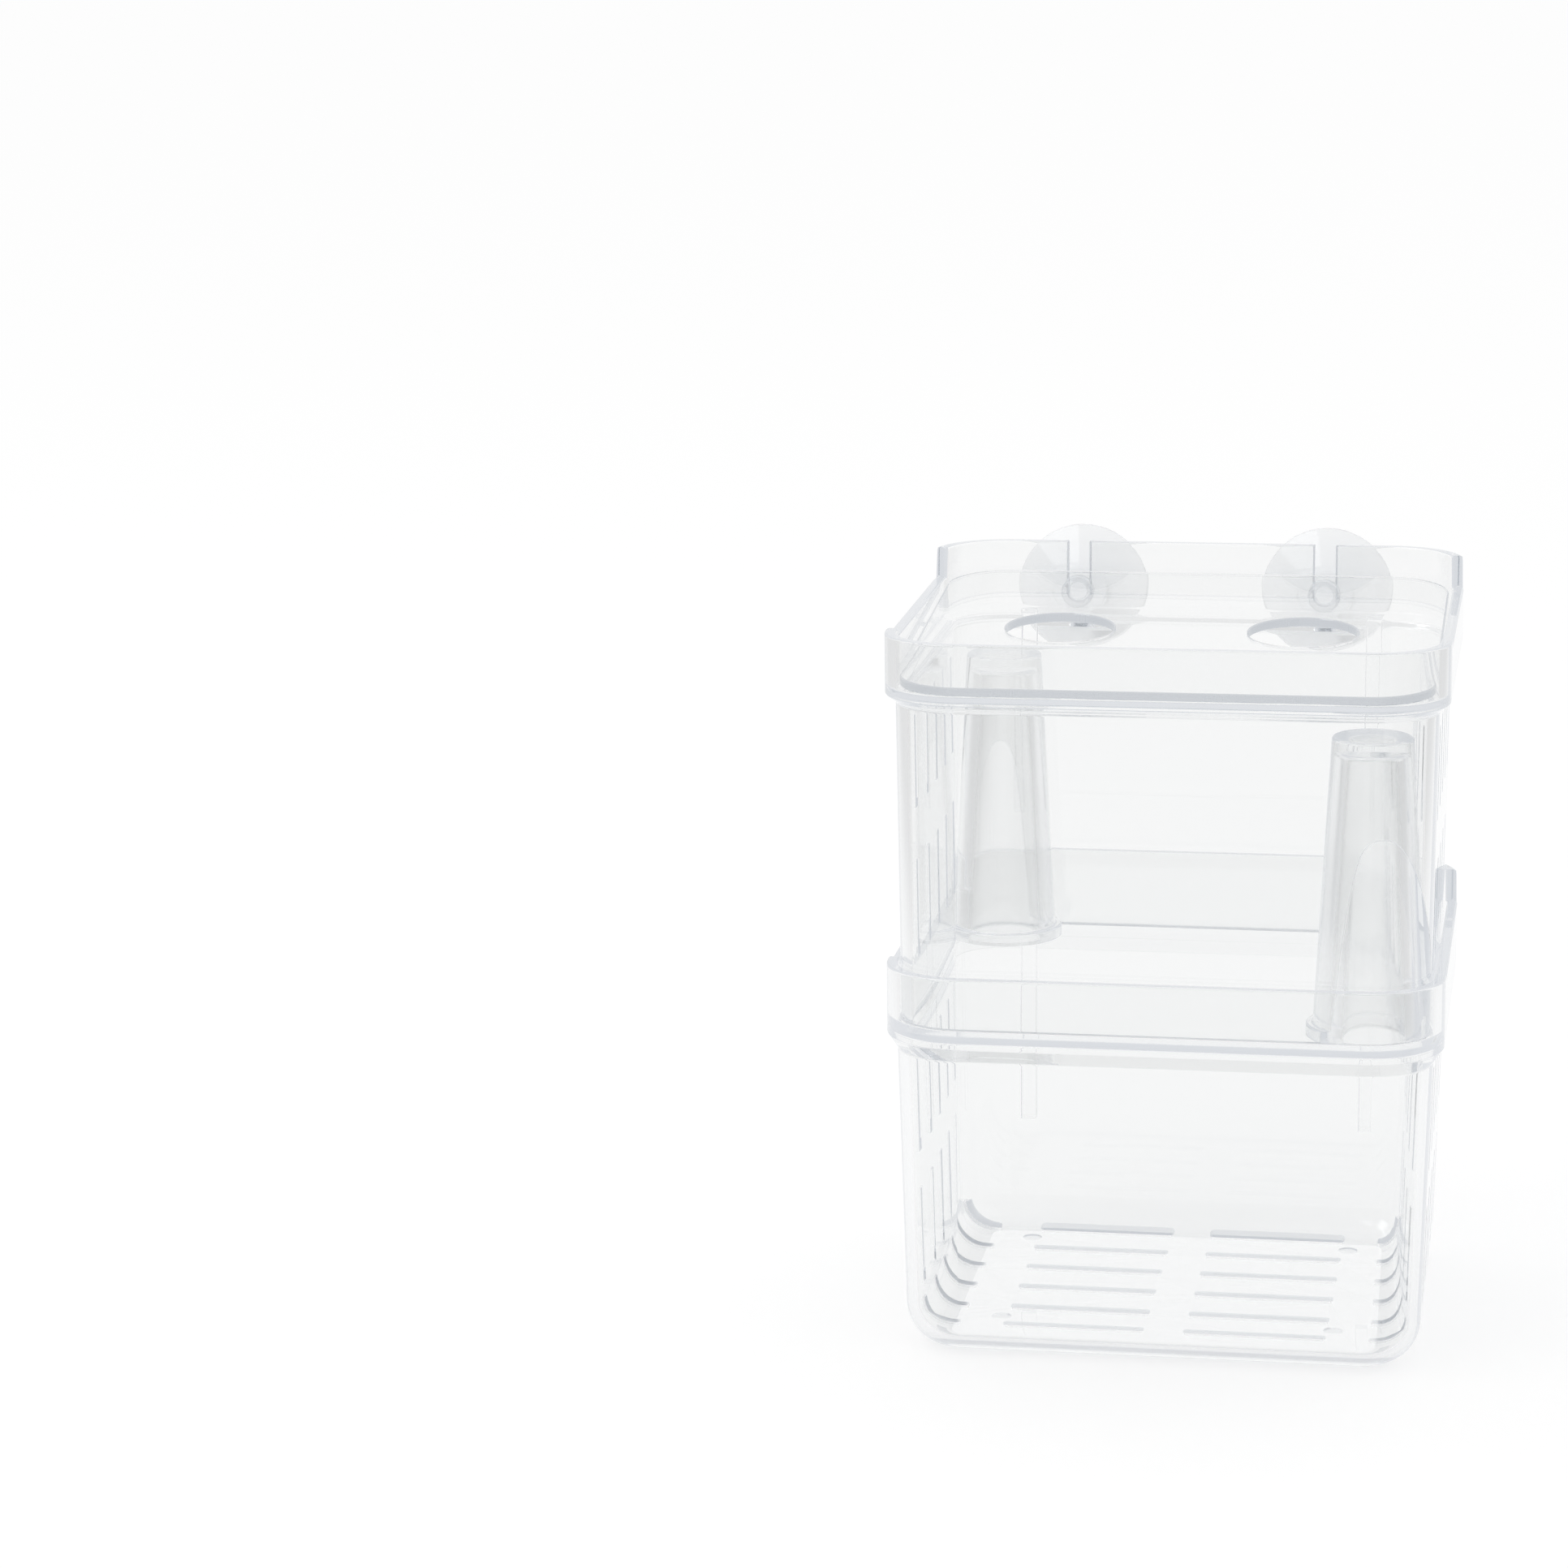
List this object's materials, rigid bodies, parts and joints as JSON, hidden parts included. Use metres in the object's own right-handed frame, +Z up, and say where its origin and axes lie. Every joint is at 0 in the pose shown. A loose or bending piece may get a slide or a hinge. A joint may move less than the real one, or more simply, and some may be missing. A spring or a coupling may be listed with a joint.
{
  "type": "fish breeding box",
  "caption": "Clear fish breeding box: slotted lower tray, stacked upper tray with hollow float columns, loose lid with feed holes, and suction cups.",
  "frame": {"origin": "middle of the tray's base, on the plane it stands on", "axes": "+X to the right seen from the front, +Y to the back where the suction cups are, +Z up"},
  "size_m": [0.1, 0.0959, 0.1386],
  "materials": {
    "clear_plastic": "clear, polished mould faces, faint blue-grey edges",
    "soft_clear": "soft, slightly milky, smooth"
  },
  "bodies": {
    "lower_tray": {"lower_tray": "clear_plastic"},
    "upper_tray": {"upper_tray": "clear_plastic"},
    "lid": {"lid": "clear_plastic"},
    "suction_cup_left": {"suction_cup_left": "soft_clear"},
    "suction_cup_right": {"suction_cup_right": "soft_clear"}
  },
  "joints": [
    {"name": "upper_tray_lift", "type": "slide", "parent": "lower_tray", "child": "upper_tray", "axis": [0, 0, 1], "range_m": [0, 0.035]},
    {"name": "lid_lift", "type": "slide", "parent": "upper_tray", "child": "lid", "axis": [0, 0, 1], "range_m": [0, 0.03]},
    {"name": "left_cup_turn", "type": "hinge", "parent": "upper_tray", "child": "suction_cup_left", "pos_m": [-0.0235, 0.04415, 0.12598], "axis": [0, 1, 0], "continuous": true},
    {"name": "right_cup_turn", "type": "hinge", "parent": "upper_tray", "child": "suction_cup_right", "pos_m": [0.0235, 0.04415, 0.12598], "axis": [0, 1, 0], "continuous": true}
  ]
}
